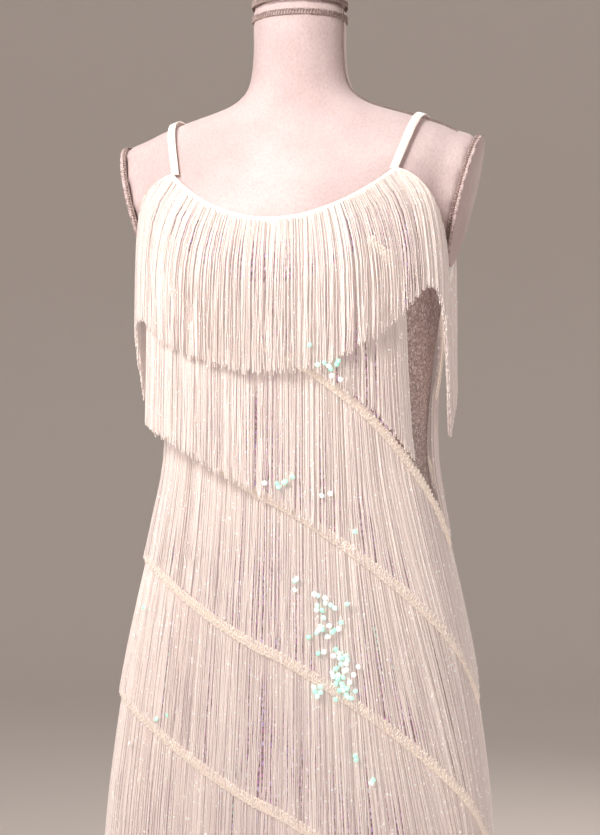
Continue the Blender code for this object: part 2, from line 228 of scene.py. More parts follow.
def smooth_columns(rows, z):
    """Read every column of a section table at heights z, through smooth curves that never overshoot."""
    table = np.array(rows)
    heights = table[:, 0]
    z = np.clip(np.asarray(z, float), heights[0], heights[-1])
    step = np.diff(heights)
    i = np.clip(np.searchsorted(heights, z, side="right") - 1, 0, len(step) - 1)
    u = (z - heights[i]) / step[i]
    values = []
    for column in range(1, table.shape[1]):
        data = table[:, column]
        rise = np.diff(data) / step
        slope = np.zeros(len(data))
        slope[0] = rise[0]
        slope[-1] = rise[-1]
        turning = rise[:-1] * rise[1:] > 0
        both = np.where(turning, rise[:-1] + rise[1:], 1.0)
        slope[1:-1] = np.where(turning, 2 * rise[:-1] * rise[1:] / both, 0.0)
        values.append(
            (1 + 2 * u) * (1 - u) ** 2 * data[i]
            + u * (1 - u) ** 2 * step[i] * slope[i]
            + u * u * (3 - 2 * u) * data[i + 1]
            + u * u * (u - 1) * step[i] * slope[i + 1]
        )
    return values


def section_points(rows, angle, z):
    """Points of the sections at heights z; angle 0 is the centre front, 90 the wearer's left side."""
    angle, z = np.broadcast_arrays(np.asarray(angle, float), np.asarray(z, float))
    half_width, front, back, squareness = smooth_columns(rows, z)
    s = np.sin(np.radians(angle))
    c = np.cos(np.radians(angle))
    depth = np.where(c > 0, front, back)
    x = half_width * np.sign(s) * np.abs(s) ** (2 / squareness)
    y = -depth * np.sign(c) * np.abs(c) ** (2 / squareness)
    return np.stack([x, y, z], axis=-1)


def section_normals(rows, angle, z):
    """Level outward directions of the sections at heights z."""
    along = section_points(rows, np.asarray(angle) + 1, z) - section_points(rows, np.asarray(angle) - 1, z)
    out = np.stack([along[..., 1], -along[..., 0], np.zeros_like(along[..., 0])], axis=-1)
    return out / np.linalg.norm(out, axis=-1, keepdims=True)


def top_edge(angle):
    """Height of the dress's upper edge: scooped neckline up to the strap, armhole down to the side."""
    from_front = abs((angle + 180) % 360 - 180)
    at_front = from_front <= 90
    centre_z = NECK_CENTRE_Z if at_front else BACK_CENTRE_Z
    strap_z = STRAP_POINT_Z if at_front else BACK_STRAP_POINT_Z
    off_centre = from_front if at_front else 180 - from_front
    if off_centre <= STRAP_ANGLE:
        return centre_z + (strap_z - centre_z) * (off_centre / STRAP_ANGLE) ** NECK_CURVE
    down = (off_centre - STRAP_ANGLE) / (90 - STRAP_ANGLE)
    return strap_z - (strap_z - UNDERARM_Z) * down ** ARMHOLE_CURVE


def panel_angle(side, across):
    """Angle of a place across a panel, from -1 at the wearer's right side seam to 1 at the left one."""
    return across * SIDE_SEAM if side == "front" else 180 - across * SIDE_SEAM


def polar_radius(rows, polar, z):
    """Distances from the axis to the sections at heights z, in compass directions (radians, 0 in front)."""
    half_width, front, back, squareness = smooth_columns(rows, z)
    depth = np.where(np.cos(polar) > 0, front, back)
    across = (np.abs(np.sin(polar)) / half_width) ** squareness
    along = (np.abs(np.cos(polar)) / depth) ** squareness
    return (across + along) ** (-1 / squareness)


def hanging_points(angle, header_z, drop, hang, lift, lean=0.0):
    """Points of a fringe: on the cloth, or hanging plumb below where the cloth is widest.

    A fan turns the strands outward from the middle just below the header; lean turns them sideways
    by so many degrees a metre of drop.
    """
    near, far, plumb, fan = hang
    angle, header_z, drop, lift = np.broadcast_arrays(angle, header_z, drop, lift)
    z = header_z - drop
    start = section_points(DRESS_SECTIONS, angle, header_z)
    polar = np.arctan2(start[..., 0], -start[..., 1])
    turn = FAN_PEAK * np.sin(polar) ** 2 * np.abs(np.cos(polar)) * (1 - np.exp(-drop / FAN_DROP))
    polar = polar + math.radians(fan) * np.copysign(turn, np.sin(2 * polar)) + np.radians(lean * drop)
    widest = np.max([polar_radius(DRESS_SECTIONS, polar, header_z - drop * i / 6) for i in range(7)], axis=0)
    radius = polar_radius(DRESS_SECTIONS, polar, z)
    radius = radius + plumb * (widest - radius)
    points = np.stack([radius * np.sin(polar), -radius * np.cos(polar), z], axis=-1)
    return points + point_normals(points) * (CLOTH_WALL + lift)[..., None]


def point_normals(points):
    """Level outward directions of the dress's sections through points."""
    half_width, front, back, squareness = smooth_columns(DRESS_SECTIONS, points[..., 2])
    x, y = points[..., 0], points[..., 1]
    depth = np.where(y < 0, front, back)
    out_x = np.copysign((np.abs(x) / half_width) ** (squareness - 1) / half_width, x)
    out_y = np.copysign((np.abs(y) / depth) ** (squareness - 1) / depth, y)
    out = np.stack([out_x, out_y, np.zeros_like(out_x)], axis=-1)
    return out / np.linalg.norm(out, axis=-1, keepdims=True)


def header_height(row, across):
    """Height of a row's header at a place across a panel."""
    middle, tilt = ROWS[row][:2]
    return middle + tilt * sum(share * across ** power for power, share in enumerate(HEADER_SERIES))


def top_ends(side, across):
    """Upper and lower end of the top fringe's strands."""
    upper = top_edge(panel_angle(side, across)) - TOP_INSET
    length = FRINGE_LENGTH
    if side == "front":
        for place, width, amount in TOP_TRIMS:
            length -= amount * math.exp(-((across - place) / width) ** 2)
    return upper, upper - length


def row_ends(side, row, across):
    """Upper and lower end of a row's strands: from its header, under the upper edge, to the next header."""
    upper = min(header_height(row, across), top_edge(panel_angle(side, across)) - EDGE_INSET)
    if row + 1 == len(ROWS):
        return upper, HEM_Z
    return upper, max(header_height(row + 1, across) + TIP_CLEARANCE, HEM_Z)


def row_span(side, row):
    """Stretch of a panel where a row has strands long enough to sew on."""
    end = ROWS[row][3] if side == "front" else FRINGE_END
    inside = []
    for i in range(SPAN_SAMPLES + 1):
        across = -FRINGE_END + (end + FRINGE_END) * i / SPAN_SAMPLES
        upper, lower = row_ends(side, row, across)
        if upper - lower > LEAST_DROP:
            inside.append(across)
    return min(inside), max(inside)


# ---------------------------------------------------------------- node and mesh helpers

def socket_of(sockets, key):
    """Shown socket with this name, or the socket at this index."""
    if isinstance(key, int):
        return sockets[key]
    return next(s for s in sockets if s.name == key and s.enabled)


def node(tree, kind, inputs=None, **settings):
    """Add a node with its settings; inputs gives each socket a value or another node's output."""
    item = tree.nodes.new(kind)
    for name, value in settings.items():
        setattr(item, name, value)
    for key, value in (inputs or {}).items():
        socket = socket_of(item.inputs, key)
        if isinstance(value, bpy.types.Node):
            value = next(s for s in value.outputs if s.enabled)
        if isinstance(value, bpy.types.NodeSocket):
            tree.links.new(value, socket)
        else:
            socket.default_value = value
    return item


def new_tree(name, inputs):
    """Geometry node tree with a geometry input and output, and the named inputs."""
    tree = bpy.data.node_groups.new(name, "GeometryNodeTree")
    tree.interface.new_socket("Geometry", in_out="INPUT", socket_type="NodeSocketGeometry")
    for label, kind in inputs:
        tree.interface.new_socket(label, in_out="INPUT", socket_type="NodeSocket" + kind)
    tree.interface.new_socket("Geometry", in_out="OUTPUT", socket_type="NodeSocketGeometry")
    return tree, tree.nodes.new("NodeGroupInput")


def close_tree(tree, geometry, material):
    """End a tree with its instances realized, smooth shading and the material."""
    realized = node(tree, "GeometryNodeRealizeInstances", {"Geometry": geometry})
    smooth = node(tree, "GeometryNodeSetShadeSmooth", {"Geometry": realized})
    painted = node(tree, "GeometryNodeSetMaterial", {"Geometry": smooth, "Material": material})
    node(tree, "NodeGroupOutput", {"Geometry": painted})


def evaluated_mesh(item):
    """An object's mesh as its modifiers leave it."""
    graph = bpy.context.evaluated_depsgraph_get()
    return bpy.data.meshes.new_from_object(item.evaluated_get(graph), preserve_all_data_layers=True,
                                           depsgraph=graph)


def grow(name, base, tree, values):
    """Run a tree on a base mesh and keep the result as a plain mesh object."""
    modifier = base.modifiers.new(tree.name, "NODES")
    modifier.node_group = tree
    for item in tree.interface.items_tree:
        if item.item_type == "SOCKET" and item.in_out == "INPUT" and item.name in values:
            modifier[item.identifier] = values[item.name]
    mesh = evaluated_mesh(base)
    base.modifiers.remove(modifier)
    bpy.data.objects.remove(base)
    mesh.name = name
    return add_object(name, mesh)


def add_object(name, mesh, material=None):
    item = bpy.data.objects.new(name, mesh)
    if material:
        item.data.materials.append(material)
    bpy.context.scene.collection.objects.link(item)
    return item


def surface(name, points):
    """Open surface through a grid of points, columns across and rows down, with its own UV map.

    u runs across the columns and v down the rows, both from 0 to 1.
    """
    columns, rows = points.shape[:2]
    mesh = bpy.data.meshes.new(name)
    faces = []
    for i in range(columns - 1):
        for j in range(rows - 1):
            first = i * rows + j
            faces.append((first, first + 1, first + rows + 1, first + rows))
    mesh.from_pydata(points.reshape(-1, 3).tolist(), [], faces)
    layer = mesh.uv_layers.new(name="bed")
    for loop in mesh.loops:
        i, j = divmod(loop.vertex_index, rows)
        layer.data[loop.index].uv = (i / (columns - 1), j / (rows - 1))
    mesh.shade_smooth()
    return mesh


def apply_modifiers(item):
    """Put an object's modifiers into its mesh."""
    mesh = evaluated_mesh(item)
    item.modifiers.clear()
    item.data = mesh


def finish_piece(piece, slot, *nodes):
    """Ride on the only body and stand for the part's nodes, which it hides; slot is not used."""
    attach(piece, "root")
    if nodes:
        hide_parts(*nodes)
    return piece


# ---------------------------------------------------------------- trees

def strand_tree():
    """Strands hanging over a bed: each follows the bed's surface from its top edge to its tips."""
    tree, given = new_tree("Hanging strands", (
        ("Strands", "Int"), ("Steps", "Int"), ("Radius", "Float"), ("Width", "Float"), ("Clump", "Float"),
        ("Sway", "Float"), ("Lift", "Float"), ("Ragged", "Float"), ("Seed", "Int"), ("Material", "Material"),
    ))
    out = given.outputs
    posts = node(tree, "GeometryNodeMeshLine", {"Count": out["Strands"]})
    line = node(tree, "GeometryNodeCurvePrimitiveLine")
    steps = node(tree, "GeometryNodeResampleCurve", {"Curve": line, "Count": out["Steps"]})
    lines = node(tree, "GeometryNodeInstanceOnPoints", {"Points": posts, "Instance": steps})
    strands = node(tree, "GeometryNodeRealizeInstances", {"Geometry": lines})

    index = node(tree, "GeometryNodeInputIndex")
    strand = node(tree, "GeometryNodeFieldOnDomain", {"Value": index}, domain="CURVE", data_type="INT")
    fall = node(tree, "GeometryNodeSplineParameter").outputs["Factor"]

    def random_of(low, high, salt):
        seed = node(tree, "ShaderNodeMath", {0: out["Seed"], 1: salt}, operation="ADD")
        return node(tree, "FunctionNodeRandomValue",
                    {"Min": low, "Max": high, "ID": strand, "Seed": seed}, data_type="FLOAT").outputs[1]

    def math_node(operation, first, second):
        return node(tree, "ShaderNodeMath", {0: first, 1: second}, operation=operation)

    # Place across, in metres from the bed's first side.
    share = math_node("DIVIDE", math_node("ADD", strand, random_of(0.15, 0.85, 1)), out["Strands"])
    place = math_node("MULTIPLY", share, out["Width"])
    seed_shift = math_node("MULTIPLY", out["Seed"], 7.31)
    clump_at = math_node("ADD", math_node("DIVIDE", place, out["Clump"]), seed_shift)
    clump = node(tree, "ShaderNodeTexNoise", {"W": clump_at, "Scale": 1.0, "Detail": 2.0, "Roughness": 0.6},
                 noise_dimensions="1D")
    pull = math_node("MULTIPLY", math_node("SUBTRACT", clump.outputs["Fac"], 0.5), 2.0)
    loosened = math_node("POWER", fall, 0.7)
    sway = math_node("MULTIPLY", math_node("MULTIPLY", pull, out["Sway"]), loosened)
    lean = math_node("MULTIPLY", random_of(-0.0016, 0.0016, 2), fall)
    wave_at = math_node("ADD", math_node("MULTIPLY", fall, 3.0), random_of(0, 50, 3))
    wave = node(tree, "ShaderNodeTexNoise", {"W": wave_at, "Scale": 1.0, "Detail": 1.0},
                noise_dimensions="1D")
    wobble = math_node("MULTIPLY", math_node("SUBTRACT", wave.outputs["Fac"], 0.5), 0.003)
    aside = math_node("ADD", math_node("ADD", sway, lean), math_node("MULTIPLY", wobble, fall))
    across = math_node("DIVIDE", math_node("ADD", place, aside), out["Width"])
    across = node(tree, "ShaderNodeClamp", {"Value": across, "Min": 0.002, "Max": 0.998})

    length = math_node("SUBTRACT", 0.999, math_node("MULTIPLY", random_of(0, 1, 4), out["Ragged"]))
    down = math_node("ADD", math_node("MULTIPLY", fall, length), 0.0005)
    at = node(tree, "ShaderNodeCombineXYZ", {"X": across, "Y": down})

    bed_uv = node(tree, "GeometryNodeInputNamedAttribute", {"Name": "bed"}, data_type="FLOAT_VECTOR")
    position = node(tree, "GeometryNodeInputPosition")
    normal = node(tree, "GeometryNodeInputNormal")

    def sampled(value):
        return node(tree, "GeometryNodeSampleUVSurface",
                    {"Mesh": out["Geometry"], "Value": value, "UV Map": bed_uv.outputs[0], "Sample UV": at},
                    data_type="FLOAT_VECTOR").outputs[0]

    depth = math_node("MULTIPLY", random_of(0, 1, 5), out["Lift"])
    raised = node(tree, "ShaderNodeVectorMath", {0: sampled(normal), "Scale": depth}, operation="SCALE")
    place_3d = node(tree, "ShaderNodeVectorMath", {0: sampled(position), 1: raised}, operation="ADD")
    hung = node(tree, "GeometryNodeSetPosition", {"Geometry": strands, "Position": place_3d})
    thick = math_node("MULTIPLY", out["Radius"], random_of(0.8, 1.2, 6))
    hung = node(tree, "GeometryNodeStoreNamedAttribute",
                {"Geometry": hung, "Name": "strand", "Value": random_of(0, 1, 7)},
                data_type="FLOAT", domain="CURVE")
    hung = node(tree, "GeometryNodeStoreNamedAttribute", {"Geometry": hung, "Name": "fall", "Value": fall},
                data_type="FLOAT", domain="POINT")
    sized = node(tree, "GeometryNodeSetCurveRadius", {"Curve": hung, "Radius": thick})
    profile = node(tree, "GeometryNodeCurvePrimitiveCircle", {"Resolution": 3, "Radius": 1.0})
    radius = node(tree, "GeometryNodeInputRadius")
    tubes = node(tree, "GeometryNodeCurveToMesh",
                 {"Curve": sized, "Profile Curve": profile, "Scale": radius, "Fill Caps": True})
    close_tree(tree, tubes, out["Material"])
    return tree


def loop_tree():
    """Loops of thread set along a line, each leaning against the next, as in a chain or an overcast edge."""
    tree, given = new_tree("Loops along a line", (
        ("Pitch", "Float"), ("Loop length", "Float"), ("Loop width", "Float"), ("Thread", "Float"),
        ("Lean", "Float"), ("Uneven", "Float"), ("Seed", "Int"), ("Material", "Material"),
    ))
    out = given.outputs
    line = node(tree, "GeometryNodeMeshToCurve", {"Mesh": out["Geometry"]})
    spaced = node(tree, "GeometryNodeResampleCurve", {"Curve": line, "Length": out["Pitch"]}, mode="LENGTH")
    circle = node(tree, "GeometryNodeCurvePrimitiveCircle", {"Resolution": 7, "Radius": 0.5})
    thread = node(tree, "GeometryNodeCurvePrimitiveCircle", {"Resolution": 3, "Radius": out["Thread"]})
    size = node(tree, "ShaderNodeCombineXYZ", {"X": out["Loop length"], "Y": out["Loop width"], "Z": 1.0})
    oval = node(tree, "GeometryNodeTransform", {"Geometry": circle, "Scale": size})
    loop = node(tree, "GeometryNodeCurveToMesh", {"Curve": oval, "Profile Curve": thread})
    outward = node(tree, "GeometryNodeInputNamedAttribute", {"Name": "out"}, data_type="FLOAT_VECTOR")
    tangent = node(tree, "GeometryNodeInputTangent")
    facing = node(tree, "FunctionNodeAxesToRotation",
                  {"Primary Axis": outward.outputs[0], "Secondary Axis": tangent},
                  primary_axis="Z", secondary_axis="X")
    index = node(tree, "GeometryNodeInputIndex")
    parity = node(tree, "ShaderNodeMath", {0: index, 1: 2.0}, operation="MODULO")
    side = node(tree, "ShaderNodeMath", {0: parity, 1: 2.0, 2: -1.0}, operation="MULTIPLY_ADD")
    leaning = node(tree, "ShaderNodeMath", {0: side, 1: out["Lean"]}, operation="MULTIPLY")
    low = node(tree, "ShaderNodeMath", {0: out["Uneven"], 1: -1.0}, operation="MULTIPLY")
    jitter = node(tree, "FunctionNodeRandomValue",
                  {"Min": low, "Max": out["Uneven"], "ID": index, "Seed": out["Seed"]},
                  data_type="FLOAT").outputs[1]
    turn_z = node(tree, "ShaderNodeMath", {0: leaning, 1: jitter}, operation="ADD")
    turn = node(tree, "ShaderNodeCombineXYZ", {"X": jitter, "Y": leaning, "Z": turn_z})
    turned = node(tree, "FunctionNodeEulerToRotation", {"Euler": turn})
    rotation = node(tree, "FunctionNodeRotateRotation", {"Rotation": facing, "Rotate By": turned},
                    rotation_space="LOCAL")
    loops = node(tree, "GeometryNodeInstanceOnPoints",
                 {"Points": spaced, "Instance": loop, "Rotation": rotation})
    close_tree(tree, loops, out["Material"])
    return tree


def sequin_tree():
    """Flat round sequins on the points of a cloth, each tilted a little and with its own tint."""
    tree, given = new_tree("Sequins on cloth", (
        ("Radius", "Float"), ("Tilt", "Float"), ("Sides", "Int"), ("Seed", "Int"), ("Material", "Material"),
    ))
    out = given.outputs
    disc = node(tree, "GeometryNodeMeshCone",
                {"Vertices": out["Sides"], "Radius Bottom": out["Radius"], "Radius Top": 0.0,
                 "Depth": SEQUIN_DEPTH})
    outward = node(tree, "GeometryNodeInputNamedAttribute", {"Name": "out"}, data_type="FLOAT_VECTOR")
    facing = node(tree, "FunctionNodeAlignRotationToVector", {"Vector": outward.outputs[0]}, axis="Z")
    index = node(tree, "GeometryNodeInputIndex")
    low = node(tree, "ShaderNodeMath", {0: out["Tilt"], 1: -1.0}, operation="MULTIPLY")
    angles = []
    for salt in (11, 12):
        seed = node(tree, "ShaderNodeMath", {0: out["Seed"], 1: salt}, operation="ADD")
        angles.append(node(tree, "FunctionNodeRandomValue",
                           {"Min": low, "Max": out["Tilt"], "ID": index, "Seed": seed},
                           data_type="FLOAT").outputs[1])
    turn = node(tree, "ShaderNodeCombineXYZ", {"X": angles[0], "Y": angles[1]})
    turned = node(tree, "FunctionNodeEulerToRotation", {"Euler": turn})
    rotation = node(tree, "FunctionNodeRotateRotation", {"Rotation": facing, "Rotate By": turned},
                    rotation_space="LOCAL")
    tint = node(tree, "FunctionNodeRandomValue", {"ID": index, "Seed": out["Seed"]},
                data_type="FLOAT").outputs[1]
    points = node(tree, "GeometryNodeMeshToPoints", {"Mesh": out["Geometry"]})
    sewn = node(tree, "GeometryNodeInstanceOnPoints",
                {"Points": points, "Instance": disc, "Rotation": rotation})
    tinted = node(tree, "GeometryNodeStoreNamedAttribute", {"Geometry": sewn, "Name": "tint", "Value": tint},
                  data_type="FLOAT", domain="INSTANCE")
    close_tree(tree, tinted, out["Material"])
    return tree


# ---------------------------------------------------------------- materials

def new_material(name, roughness, metallic=0.0, **constants):
    """Principled material; constants are socket values such as sheen, coat or IOR."""
    material = bpy.data.materials.new(name)
    material.use_nodes = True
    material.cycles.emission_sampling = "NONE"
    shader = material.node_tree.nodes["Principled BSDF"]
    shader.inputs["Roughness"].default_value = roughness
    shader.inputs["Metallic"].default_value = metallic
    for label, value in constants.items():
        shader.inputs[label.replace("_", " ")].default_value = value
    return material, material.node_tree, shader


def object_noise(tree, scale, detail=2.0, stretch=(1, 1, 1)):
    """Noise on object coordinates, with the given features per metre."""
    place = node(tree, "ShaderNodeTexCoord")
    mapping = node(tree, "ShaderNodeMapping", {"Vector": place.outputs["Object"], "Scale": stretch})
    return node(tree, "ShaderNodeTexNoise", {"Vector": mapping, "Scale": scale, "Detail": detail})


def ramp(tree, fac, stops):
    """Colour ramp with (position, hex colour) stops."""
    item = node(tree, "ShaderNodeValToRGB", {"Fac": fac})
    elements = item.color_ramp.elements
    while len(elements) < len(stops):
        elements.new(0.5)
    for element, (position, colour) in zip(elements, stops):
        element.position = position
        element.color = linear(colour)
    return item.outputs["Color"]


def bump(tree, shader, height, strength, distance):
    item = node(tree, "ShaderNodeBump", {"Height": height, "Strength": strength, "Distance": distance})
    tree.links.new(item.outputs["Normal"], shader.inputs["Normal"])


def rayon_chainette():
    """Knitted rayon cord, bleached ivory: a soft satin gloss along each strand, shades between strands."""
    material, tree, shader = new_material("rayon_chainette", 0.42, Sheen_Weight=0.25, Sheen_Roughness=0.4)
    strand = node(tree, "ShaderNodeAttribute", attribute_name="strand")
    speckle = object_noise(tree, 700.0, 2.0, (1, 1, 0.6))
    tone = node(tree, "ShaderNodeMath", {0: strand.outputs["Fac"], 1: 0.55}, operation="MULTIPLY")
    tone = node(tree, "ShaderNodeMath", {0: speckle.outputs["Fac"], 1: 0.6, 2: tone},
                operation="MULTIPLY_ADD")
    colour = ramp(tree, tone, ((0.15, FRINGE_SHADE), (0.45, "E6D7D1"), (0.8, FRINGE_CREAM)))
    # Painted glints: white specks that glow with extra light of their own, standing for the sparkle of a
    # shiny filament in the cord.
    place = node(tree, "ShaderNodeTexCoord")
    cells = node(tree, "ShaderNodeTexVoronoi", {"Vector": place.outputs["Object"], "Scale": 380.0})
    pick = node(tree, "ShaderNodeSeparateColor", {"Color": cells.outputs["Color"]})
    chosen = node(tree, "ShaderNodeMath", {0: pick.outputs[0], 1: 0.93}, operation="GREATER_THAN")
    near = node(tree, "ShaderNodeMath", {0: cells.outputs["Distance"], 1: 0.38}, operation="LESS_THAN")
    glint_speck = node(tree, "ShaderNodeMath", {0: chosen, 1: near}, operation="MULTIPLY")
    flecked = node(tree, "ShaderNodeMix", {"Factor": glint_speck}, data_type="RGBA")
    tree.links.new(colour, socket_of(flecked.inputs, "A"))
    socket_of(flecked.inputs, "B").default_value = linear("FFFDF6")
    tree.links.new(socket_of(flecked.outputs, "Result"), shader.inputs["Base Color"])
    glow = node(tree, "ShaderNodeMath", {0: glint_speck, 1: 0.25, 2: CORD_PAINTED_GLOW}, operation="MULTIPLY_ADD")
    tree.links.new(glow.outputs[0], shader.inputs["Emission Strength"])
    # Painted glow in place of light that comes through the thin cords: they give off light of their own,
    # which lifts their shaded sides.
    shader.inputs["Emission Color"].default_value = linear("ECE0DC")
    # Chain stitches of the cord, about 1.3 mm long.
    bump(tree, shader, object_noise(tree, 760.0, 1.0), 0.5, 0.4 * MM)
    return material


def cream_braid():
    """Crocheted chain that heads each fringe: cream rayon, a little duller and warmer than the strands."""
    material, tree, shader = new_material("cream_braid", 0.6, Sheen_Weight=0.3, Sheen_Roughness=0.5)
    fibres = object_noise(tree, 900.0, 3.0)
    colour = ramp(tree, fibres.outputs["Fac"], ((0.25, "E2D0C2"), (0.55, HEADER_CREAM), (0.8, "F8F0E8")))
    tree.links.new(colour, shader.inputs["Base Color"])
    # Painted glow: the braid gives off light of its own, which brightens its shaded loops.
    shader.inputs["Emission Color"].default_value = linear("F2E4D8")
    shader.inputs["Emission Strength"].default_value = 0.30
    bump(tree, shader, fibres.outputs["Fac"], 0.4, 0.3 * MM)
    return material


def satin_ribbon():
    """Bridal satin folded to a narrow strap: smooth, white, with a broad gloss."""
    material, tree, shader = new_material("satin_ribbon", 0.38, Sheen_Weight=0.2)
    weave = object_noise(tree, 1400.0, 1.0, (1, 1, 0.3))
    colour = ramp(tree, weave.outputs["Fac"], ((0.3, "EFE4DA"), (0.6, SATIN_WHITE)))
    tree.links.new(colour, shader.inputs["Base Color"])
    bump(tree, shader, weave.outputs["Fac"], 0.25, 0.2 * MM)
    return material


def satin_binding():
    """Folded white satin that binds the upper edge: soft, bright with a painted glow, its sheen broken by
    small puckers.
    """
    material, tree, shader = new_material("satin_binding", 0.5, Sheen_Weight=0.3)
    puckers = object_noise(tree, 240.0, 2.0, (1, 1, 0.5))
    colour = ramp(tree, puckers.outputs["Fac"], ((0.3, "F6EDE2"), (0.6, BINDING_WHITE)))
    tree.links.new(colour, shader.inputs["Base Color"])
    # Painted glow: the binding gives off white light of its own, a painted highlight along the upper edge.
    shader.inputs["Emission Color"].default_value = linear(BINDING_WHITE)
    shader.inputs["Emission Strength"].default_value = 0.18
    bump(tree, shader, puckers.outputs["Fac"], 0.4, 0.8 * MM)
    return material


def form_jersey():
    """Cotton jersey stretched over foam: dry and matt, faintly blotched, its knit a soft grain."""
    material, tree, shader = new_material("form_jersey", 0.85, Sheen_Weight=0.12, Sheen_Roughness=0.6)
    blush = object_noise(tree, 14.0, 3.0)
    colour = ramp(tree, blush.outputs["Fac"], ((0.3, "C8B2B1"), (0.55, JERSEY_ROSE), (0.8, "DFCECC")))
    fibres = object_noise(tree, 600.0, 2.0, (1, 1, 0.5))
    shade = node(tree, "ShaderNodeMix", {"Factor": 0.25}, data_type="RGBA", blend_type="MULTIPLY")
    tree.links.new(colour, socket_of(shade.inputs, "A"))
    tree.links.new(ramp(tree, fibres.outputs["Fac"], ((0.3, "B9A7A2"), (0.6, "FFFFFF"))),
                   socket_of(shade.inputs, "B"))
    tree.links.new(socket_of(shade.outputs, "Result"), shader.inputs["Base Color"])
    bump(tree, shader, fibres.outputs["Fac"], 0.35, 0.4 * MM)
    return material


def cotton_thread():
    """Waxed cotton of the form's hand stitches, taupe from handling."""
    material, tree, shader = new_material("cotton_thread", 0.7)
    fibres = object_noise(tree, 800.0, 2.0)
    colour = ramp(tree, fibres.outputs["Fac"], ((0.3, "97837C"), (0.7, THREAD_TAUPE)))
    tree.links.new(colour, shader.inputs["Base Color"])
    return material


def sequin_ground():
    """Stretch mesh under the sequins: greyed mauve with a fine metallic glitter."""
    material, tree, shader = new_material("sequin_ground", 0.45, 0.25)
    place = node(tree, "ShaderNodeTexCoord")
    cells = node(tree, "ShaderNodeTexVoronoi", {"Vector": place.outputs["Object"], "Scale": 520.0})
    spark = node(tree, "ShaderNodeSeparateColor", {"Color": cells.outputs["Color"]})
    # Each glitter cell takes a random tone of the cloth; the palest few are painted glints.
    colour = ramp(tree, spark.outputs[0],
                  ((0.0, "A8948F"), (0.45, "C0ACA6"), (0.8, "DCCAC6"), (0.97, "F3E9EA")))
    tree.links.new(colour, shader.inputs["Base Color"])
    bump(tree, shader, cells.outputs["Distance"], 0.6, 0.5 * MM)
    return material


def iridescent_sequin():
    """Clear film sequins with a pearly interference coat: pink, lilac or white in broad patches."""
    material, tree, shader = new_material("iridescent_sequin", 0.22, 0.1,
                                          Coat_Weight=0.6, Coat_Roughness=0.08)
    tint = node(tree, "ShaderNodeAttribute", attribute_name="tint")
    patches = object_noise(tree, 26.0, 1.0, (1, 1, 0.35))
    tone = node(tree, "ShaderNodeMath", {0: tint.outputs["Fac"], 1: 0.35}, operation="MULTIPLY")
    tone = node(tree, "ShaderNodeMath", {0: patches.outputs["Fac"], 1: 0.95, 2: tone},
                operation="MULTIPLY_ADD")
    colour = ramp(tree, tone, ((0.35, SEQUIN_GROUND), (0.5, "E2C9DC"), (0.62, SEQUIN_PINK),
                               (0.72, SEQUIN_LILAC), (0.85, "E6D5E6"), (1.0, SEQUIN_MINT)))
    tree.links.new(colour, shader.inputs["Base Color"])
    # Painted glow: each sequin gives off light in its own tint, in place of the light it would reflect.
    tree.links.new(colour, shader.inputs["Emission Color"])
    shader.inputs["Emission Strength"].default_value = 0.42
    return material


def painted_glint_sequin():
    """The same sequins where they turn out between strands, as painted glints: white with a mint cast,
    glowing with light of their own.
    """
    material, tree, shader = new_material("painted_glint_sequin", 0.12, 0.1, Coat_Weight=1.0, Coat_Roughness=0.05)
    tint = node(tree, "ShaderNodeAttribute", attribute_name="tint")
    # Painted glint: a near-white colour and a strong glow in place of light caught by the sequins.
    colour = ramp(tree, tint.outputs["Fac"], ((0.0, "A9EFD2"), (0.5, "C9FBE8"), (0.85, "F6FFFC")))
    tree.links.new(colour, shader.inputs["Base Color"])
    tree.links.new(colour, shader.inputs["Emission Color"])
    shader.inputs["Emission Strength"].default_value = 0.8
    return material


def powder_coat():
    """Powder-coated steel of the stand: off-white, slightly pebbled, semi-gloss."""
    material, tree, shader = new_material("powder_coat", 0.4, Coat_Weight=0.2)
    pebble = object_noise(tree, 420.0, 2.0)
    colour = ramp(tree, pebble.outputs["Fac"], ((0.3, "DAD6D0"), (0.7, STAND_WHITE)))
    tree.links.new(colour, shader.inputs["Base Color"])
    bump(tree, shader, pebble.outputs["Fac"], 0.15, 0.2 * MM)
    return material


# ---------------------------------------------------------------- dress

# Soft upright folds of the skirt and sides: place round the body, width, depth outward, upper fading height.
FOLDS = (
    (-62, 16, 3.0 * MM, 1.00),
    (-28, 22, -2.0 * MM, 0.90),
    (8, 18, 2.4 * MM, 0.84),
    (41, 20, -2.2 * MM, 0.97),
    (68, 14, 3.0 * MM, 1.02),
    (118, 18, -2.0 * MM, 0.95),
    (150, 22, 2.8 * MM, 0.90),
    (192, 20, -2.4 * MM, 0.86),
    (226, 18, 2.6 * MM, 0.94),
    (255, 16, -2.0 * MM, 1.00),
)
FOLD_FADE = 0.35


def fold_lift(angle, z):
    """How far the skirt's folds push the cloth out at a place."""
    lift = np.zeros(np.broadcast(angle, z).shape)
    for centre, width, depth, fades_above in FOLDS:
        off = (np.asarray(angle) - centre + 180) % 360 - 180
        grows = np.clip((fades_above - np.asarray(z)) / FOLD_FADE, 0, 1)
        lift = lift + depth * np.exp(-(off / width) ** 2) * grows
    return lift


def folded(points, angle, z):
    return points + section_normals(DRESS_SECTIONS, angle, z) * fold_lift(angle, z)[..., None]


def panel_points(side, across_steps, down_steps):
    """Grid on a panel, from its upper edge to the hem."""
    across = np.linspace(-1, 1, across_steps + 1)
    if side == "back":
        across = across[::-1]
    angle = np.array([panel_angle(side, a) for a in across])
    top = np.array([top_edge(a) for a in angle])
    down = np.linspace(0, 1, down_steps + 1) ** 1.1
    z = top[:, None] + (HEM_Z - top[:, None]) * down[None, :]
    angle = np.broadcast_to(angle[:, None], z.shape)
    return folded(section_points(DRESS_SECTIONS, angle, z), angle, z)


